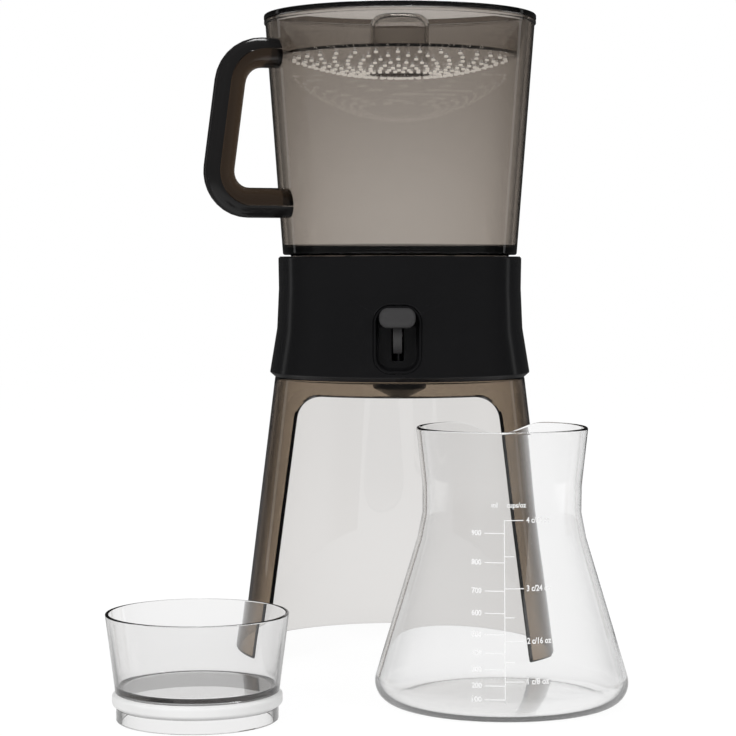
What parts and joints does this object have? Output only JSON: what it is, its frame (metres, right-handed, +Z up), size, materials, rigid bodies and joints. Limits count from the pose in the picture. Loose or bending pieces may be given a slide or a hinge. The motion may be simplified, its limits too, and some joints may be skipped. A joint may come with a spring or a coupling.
{
  "type": "cold brew coffee maker",
  "caption": "Drip tower with a tapered brewing container on a waisted collar and arched stand, beside a conical glass carafe and a stopper cup.",
  "frame": {"origin": "on the floor, on the tower's axis, where the carafe stands under the outlet", "axes": "+Z up along the tower, -Y towards the side with the brew switch, the handle towards -X"},
  "size_m": [0.271, 0.3568, 0.3809],
  "materials": {
    "smoke_plastic": "polished smoke-tinted clear copolyester",
    "black_gloss": "gloss black moulded",
    "black_inner": "satin black moulded",
    "lever_plastic": "soft matt dark grey",
    "steel": "turned stainless",
    "mesh_steel": "woven stainless mesh",
    "inner_silicone": "dark silicone",
    "white_silicone": "white silicone",
    "clear_glass": "clear borosilicate",
    "pale_clear_plastic": "clear copolyester with a pale smoke tint"
  },
  "bodies": {
    "stand": {"stand_shell": "smoke_plastic", "collar_shell": "black_gloss", "collar_deck": "black_inner", "collar_base": "black_inner", "deck_screws": "steel", "drip_funnel": "black_gloss", "switch_bezel": "black_gloss", "lever_pin": "steel", "guide_rod": "steel"},
    "brew_lever": {"lever_arm": "lever_plastic", "lever_knob": "lever_plastic"},
    "lifter": {"valve_lifter": "black_inner"},
    "brewing_container": {"container": "smoke_plastic", "container_handle": "smoke_plastic", "valve_housing": "black_inner", "housing_gasket": "inner_silicone", "housing_nut": "black_inner", "valve_retainer": "black_inner", "valve_spring": "steel"},
    "valve": {"valve_stem": "black_inner", "valve_seal": "inner_silicone"},
    "mesh_filter": {"filter_frame": "black_inner", "filter_mesh": "mesh_steel", "filter_gasket": "inner_silicone"},
    "rainmaker": {"rainmaker_rim": "smoke_plastic", "rainmaker_plate": "smoke_plastic", "rainmaker_grip": "smoke_plastic"},
    "carafe": {"carafe_glass": "clear_glass"},
    "stopper_cup": {"measuring_cup": "pale_clear_plastic", "cup_seal": "white_silicone"}
  },
  "joints": [
    {"name": "container_lift", "type": "slide", "parent": "stand", "child": "brewing_container", "axis": [0, 0, 1], "range_m": [0, 0.15]},
    {"name": "rainmaker_lift", "type": "slide", "parent": "brewing_container", "child": "rainmaker", "axis": [0, 0, 1], "range_m": [0, 0.08]},
    {"name": "filter_lift", "type": "slide", "parent": "brewing_container", "child": "mesh_filter", "axis": [0, 0, 1], "range_m": [0, 0.09]},
    {"name": "brew_switch", "type": "hinge", "parent": "stand", "child": "brew_lever", "pos_m": [0, -0.058, 0.192], "axis": [1, 0, 0], "range_deg": [0, 25]},
    {"name": "lifter_slide", "type": "slide", "parent": "stand", "child": "lifter", "axis": [0, 0, 1], "range_m": [0, 0.0036]},
    {"name": "valve_slide", "type": "slide", "parent": "brewing_container", "child": "valve", "axis": [0, 0, 1], "range_m": [0, 0.0034], "deforming": ["valve_spring"]},
    {"name": "carafe_lift", "type": "slide", "parent": "stand", "child": "carafe", "axis": [0, 0, 1], "range_m": [0, 0.15]},
    {"name": "cup_lift", "type": "slide", "parent": "stand", "child": "stopper_cup", "axis": [0, 0, 1], "range_m": [0, 0.1]}
  ],
  "couplings": [
    {"joint": "lifter_slide", "follows": "brew_switch", "m_per_rad": 0.00793},
    {"joint": "valve_slide", "follows": "brew_switch", "m_per_rad": 0.00727}
  ]
}
